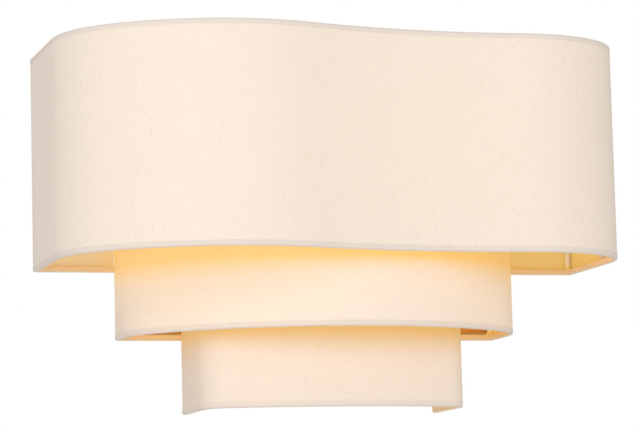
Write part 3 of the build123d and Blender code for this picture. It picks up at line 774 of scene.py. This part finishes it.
def seam_overlap(tier, finish):
    """The overlap where the two ends of a tier's cloth meet, on its right side."""
    look = bpy.context.scene.shade_settings
    front_y = BACK_Y - tier.right_side() + SEAM_BACK
    tucked = look.hem_height - 0.4 * MM
    low = (tier.right - look.cloth, front_y, tier.bottom + tucked)
    high = (tier.right + look.seam_proud, front_y + look.seam_width, tier.top - tucked)
    return strip(tier.name + "_seam", low, high, 0.2 * MM, finish)


def seam_tape(tier, finish):
    """The tape behind a seam, on the inside of the liner."""
    look = bpy.context.scene.shade_settings
    inside = tier.right - 1.2 * MM
    front_y = BACK_Y - tier.right_side() + SEAM_BACK
    low = (inside - TAPE_THICK, front_y, tier.bottom + look.hem_height)
    high = (inside, front_y + TAPE_WIDTH, tier.top - look.hem_height)
    tape = strip(tier.name + "_seam_tape", low, high, 0.12 * MM, finish)
    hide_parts("seam_tapes")


def strut_pockets(finish):
    """The cloth folded round the foot and the head of each strut, above and below the hems."""
    look = bpy.context.scene.shade_settings
    bm = bmesh.new()
    wrap = 0.35 * MM
    for tier in TIERS:
        feet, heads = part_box(tier.name + "_struts")
        radius = (heads.y - feet.y) / 2
        for x in (feet.x + radius, heads.x - radius):
            for low in (tier.bottom + look.hem_height, tier.top - look.hem_height - look.pocket):
                disc = bmesh.ops.create_circle(bm, cap_ends=True, segments=20,
                                               radius=radius + wrap)["verts"]
                bmesh.ops.translate(bm, vec=(x, feet.y + radius, low), verts=disc)
                sleeve = bmesh.ops.extrude_face_region(bm, geom=disc[0].link_faces[:])["geom"]
                lid = next(item for item in sleeve if isinstance(item, bmesh.types.BMFace))
                bmesh.ops.translate(bm, vec=(0, 0, look.pocket), verts=lid.verts)
                soften(bm, lid.edges[:], 0.5 * MM)
    bmesh.ops.recalc_face_normals(bm, faces=bm.faces)
    lay_cloth(bm, lambda co: co.x + co.y)
    return make_piece(bm, "strut_pockets", finish)


def back_panel(finish):
    """The cloth across the upper tier's back, cut out round the wall plate and the middle tier."""
    low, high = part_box("upper_back_panel")
    bm = bmesh.new()
    gap = 0.3 * MM
    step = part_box("middle_top_hem")[1].z + gap
    band = high.z - 30 * MM
    inner = 131 * MM
    left = MIDDLE.left - gap
    right = MIDDLE.right + gap
    corners = [(low.x, low.z), (left, low.z), (left, step), (-inner, step), (-inner, band),
               (inner, band), (inner, step), (right, step), (right, low.z), (high.x, low.z),
               (high.x, high.z), (low.x, high.z)]
    face = bm.faces.new([bm.verts.new((x, high.y, z)) for x, z in corners])
    made = bmesh.ops.extrude_face_region(bm, geom=[face])["geom"]
    face_verts = [item for item in made if isinstance(item, bmesh.types.BMVert)]
    bmesh.ops.translate(bm, vec=(0, low.y - high.y, 0), verts=face_verts)
    bmesh.ops.recalc_face_normals(bm, faces=bm.faces)
    soften(bm, [e for e in bm.edges if abs(e.verts[0].co.y - e.verts[1].co.y) < 1e-6], 0.2 * MM)
    lay_cloth(bm, lambda co: co.x)
    piece = make_piece(bm, "upper_back_cloth", finish)
    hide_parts("upper_back_panel")
    return piece


def paint(nodes, finish):
    """Give carried-over nodes a finish."""
    for name in nodes:
        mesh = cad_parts[name].data
        mesh.materials.clear()
        mesh.materials.append(finish)


def both(name):
    """The names of a node's left and right ones."""
    return ["left_" + name, "right_" + name]


# ---- operators --------------------------------------------------------------------

class LIGHT_OT_stage(bpy.types.Operator):
    """Set the camera, the white surroundings, the floor and the soft light."""
    bl_idname = "light.stage"
    bl_label = "Stage and Camera"

    def execute(self, context):
        stage = context.scene.stage_settings
        yaw, pitch, roll = stage.turn
        turned = (Matrix.Rotation(roll, 3, "Z") @ Matrix.Rotation(pitch, 3, "X")
                  @ Matrix.Rotation(yaw, 3, "Y") @ Matrix(((1, 0, 0), (0, 0, -1), (0, 1, 0))))
        right, down, ahead = turned.row
        camera = bpy.data.objects.new("camera", bpy.data.cameras.new("camera"))
        camera.data.sensor_width = 36.0
        camera.data.sensor_fit = "HORIZONTAL"
        camera.data.lens = stage.lens
        camera.data.clip_end = 50.0
        camera.matrix_world = Matrix((right, -down, -ahead)).transposed().to_4x4()
        camera.location = stage.eye
        context.scene.collection.objects.link(camera)
        context.scene.camera = camera

        world = bpy.data.worlds.new("surroundings")
        context.scene.world = world
        world.use_nodes = True
        tree = world.node_tree
        tree.nodes.clear()
        skies = []
        for strength in (stage.sky, 1.0):
            sky = tree.nodes.new("ShaderNodeBackground")
            sky.inputs["Color"].default_value = (1.0, 1.0, 1.0, 1.0)
            sky.inputs["Strength"].default_value = strength
            skies.append(sky.outputs[0])
        path = tree.nodes.new("ShaderNodeLightPath")
        seen = path.outputs["Is Camera Ray"]
        for ray in ("Is Glossy Ray", "Is Transmission Ray"):
            either = tree.nodes.new("ShaderNodeMath")
            either.operation = "MAXIMUM"
            tree.links.new(seen, either.inputs[0])
            tree.links.new(path.outputs[ray], either.inputs[1])
            seen = either.outputs[0]
        mix = tree.nodes.new("ShaderNodeMixShader")
        for socket, link in zip(mix.inputs, (seen, *skies)):
            tree.links.new(link, socket)
        end = tree.nodes.new("ShaderNodeOutputWorld")
        tree.links.new(mix.outputs[0], end.inputs[0])

        bm = bmesh.new()
        bmesh.ops.create_grid(bm, x_segments=8, y_segments=8, size=6.0)
        bmesh.ops.translate(bm, vec=(0, 0, -stage.floor), verts=bm.verts)
        mesh = bpy.data.meshes.new("floor")
        bm.to_mesh(mesh)
        bm.free()
        floor = bpy.data.objects.new("floor", mesh)
        context.scene.collection.objects.link(floor)
        ground = Finish("floor", Base_Color=(0.93, 0.93, 0.92, 1.0), Roughness=0.8,
                        Emission_Strength=0.12)
        ground.surface.inputs["Emission Color"].default_value = (1.0, 1.0, 1.0, 1.0)
        behind = ground.node("ShaderNodeNewGeometry", {}, output=6)
        clear = ground.node("ShaderNodeBsdfTransparent", {})
        above = Value(ground, ground.surface.outputs[0])
        either = ground.node("ShaderNodeMixShader", {}, behind, above, clear)
        end = next(node for node in ground.tree.nodes
                   if node.bl_idname == "ShaderNodeOutputMaterial")
        ground.tree.links.new(either.socket, end.inputs[0])
        floor.data.materials.append(ground.done())

        aim = Vector((0, 0, -0.05))
        lamps = (("key", (-0.7, -2.5, 0.4), 1.8, 1.0, (1.0, 1.0, 1.0)),
                 ("fill", (1.7, -1.9, 0.2), 1.4, 0.26, (1.0, 0.93, 0.84)),
                 ("side", (-2.1, -0.8, 0.1), 1.4, 0.26, (1.0, 1.0, 1.0)))
        for name, place, size, share, colour in lamps:
            lamp = bpy.data.lights.new(name, "AREA")
            lamp.shape = "DISK"
            lamp.size = size
            lamp.energy = stage.key * share
            lamp.color = colour
            holder = bpy.data.objects.new(name, lamp)
            holder.location = place
            holder.rotation_euler = (aim - Vector(place)).to_track_quat("-Z", "Y").to_euler()
            context.scene.collection.objects.link(holder)
        context.scene.view_settings.view_transform = "Standard"
        return {"FINISHED"}


class LIGHT_OT_shade(bpy.types.Operator):
    """Make the cloth, hems, seams and back panel of the three tiers."""
    bl_idname = "light.shade"
    bl_label = "Fabric Shade"

    def execute(self, context):
        colours = context.scene.cloth_settings
        # inner is the strength of the painted lamp light on the hems' inward faces.
        hems = {"upper": cloth_finish("hem_upper", colours.turned, inner=0.22),
                "middle": cloth_finish("hem_middle", colours.turned, through=0.02, inner=0.26),
                "lower": cloth_finish("hem_lower", colours.turned, through=0.02, inner=0.26)}
        past_upper = Spill(UPPER.bottom, strength=0.70, reach=7.2, nearest=52.0,
                           left=0.055, right=0.19)
        past_middle = Spill(MIDDLE.bottom, strength=0.52, reach=9.0, nearest=-48.0,
                            left=0.05, right=0.03, shade=0.85, thin=0.4)
        natural = colours.natural
        # The lowest tier's cloth is toned 3% darker than the others: painted shade.
        covers = {"upper": cloth_finish("linen_upper", natural, through=0.02),
                  "middle": cloth_finish("linen_middle", natural, past_upper, through=0.03),
                  "lower": cloth_finish("linen_lower", toned(natural, 0.97), past_middle,
                                        through=0.01)}
        for tier in TIERS:
            piece, flat = tier_cover(tier, covers[tier.name])
            edges = [tier_hem(tier, edge, hems[tier.name]) for edge in ("top", "bottom")]
            seam = seam_overlap(tier, covers[tier.name])
            seam_tape(tier, hems["upper"])
        back_panel(covers["upper"])
        return {"FINISHED"}


class LIGHT_OT_frame(bpy.types.Operator):
    """Finish the liners, the wire frame and the straps of the shade."""
    bl_idname = "light.frame"
    bl_label = "Liners and Wire Frame"

    def execute(self, context):
        look = context.scene.finish_settings
        paint(["upper_liner"], lining_finish("liner_upper", 0.18))
        back = lining_finish("liner_back", 0.16)
        paint(["upper_back_liner"], back)
        strut_pockets(back)
        paint(["middle_liner"], lining_finish("liner_middle", 0.24))
        paint(["lower_liner"], lining_finish("liner_lower", 0.28))
        wire = coat_finish("white_wire", look.powder, 0.42, 700.0)
        paint([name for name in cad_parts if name.endswith(("_hoop", "_struts"))], wire)
        paint(["left_mounting_strap", "right_mounting_strap", "joining_straps"],
              coat_finish("white_strap", look.powder, 0.48, 500.0))
        return {"FINISHED"}


class LIGHT_OT_fittings(bpy.types.Operator):
    """Finish the wall plate, arm, hub, lampholders, lamps and wiring."""
    bl_idname = "light.fittings"
    bl_label = "Fittings and Lamps"

    def execute(self, context):
        look = context.scene.finish_settings
        paint(["wall_plate"],
              metal_finish("satin_brass_plate", look.brass, 0.42, 1400.0, wear=0.25))
        paint(["arm", "arm_collar", "hub", "hub_lid"],
              metal_finish("satin_brass_turned", look.brass, 0.34, 900.0, wear=0.15))
        paint(["crossbar", "crossbar_studs", "arm_nut", "nipples"],
              metal_finish("zinc_plate", look.zinc, 0.38, 700.0, wear=0.3))
        paint(["dome_nuts", "shade_studs", *both("knurled_nut"), "terminal_screws", "earth_tag",
               "earth_screw", *both("lamp_cap")],
              metal_finish("nickel_plate", look.nickel, 0.24, 1100.0, axis=1))
        paint([*both("holder_cap"), *both("holder_body")],
              coat_finish("holder_plastic", painted(232, 228, 218), 0.45, 400.0))
        paint(both("holder_insert"),
              coat_finish("insert_plastic", painted(212, 206, 190), 0.6, 600.0))
        paint(["terminal_block"], coat_finish("block_plastic", painted(228, 226, 220), 0.5, 500.0))
        paint(both("live_lead"), coat_finish("live_sleeve", painted(112, 66, 38), 0.4, 500.0))
        paint(both("neutral_lead"), coat_finish("neutral_sleeve", painted(52, 98, 178), 0.4, 500.0))
        paint(["earth_lead"], earth_finish())
        paint(both("lamp_globe"), opal_finish())
        return {"FINISHED"}


class LIGHT_PT_panel(bpy.types.Panel):
    """Lists the steps that dress the wall light."""
    bl_idname = "LIGHT_PT_panel"
    bl_label = "Wall Light"
    bl_space_type = "VIEW_3D"
    bl_region_type = "UI"
    bl_category = "Wall Light"

    def draw(self, context):
        for step in STEPS:
            self.layout.operator(step.bl_idname)
        for name in SETTINGS:
            box = self.layout.box()
            group = getattr(context.scene, name)
            for key in group.bl_rna.properties.keys():
                if key not in ("rna_type", "name"):
                    box.prop(group, key)


STEPS = (LIGHT_OT_stage, LIGHT_OT_shade, LIGHT_OT_frame, LIGHT_OT_fittings)
SETTINGS = {"shade_settings": ShadeSettings, "cloth_settings": ClothSettings,
            "finish_settings": FinishSettings, "stage_settings": StageSettings}
CLASSES = (*SETTINGS.values(), *STEPS, LIGHT_PT_panel)


def register():
    for kind in CLASSES:
        bpy.utils.register_class(kind)
    for name, kind in SETTINGS.items():
        setattr(bpy.types.Scene, name, PointerProperty(type=kind))


def unregister():
    for name in SETTINGS:
        delattr(bpy.types.Scene, name)
    for kind in reversed(CLASSES):
        bpy.utils.unregister_class(kind)


def main():
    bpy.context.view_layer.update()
    register()
    bpy.ops.light.stage()
    bpy.ops.light.shade()
    bpy.ops.light.frame()
    bpy.ops.light.fittings()


if __name__ == "__main__":
    main()
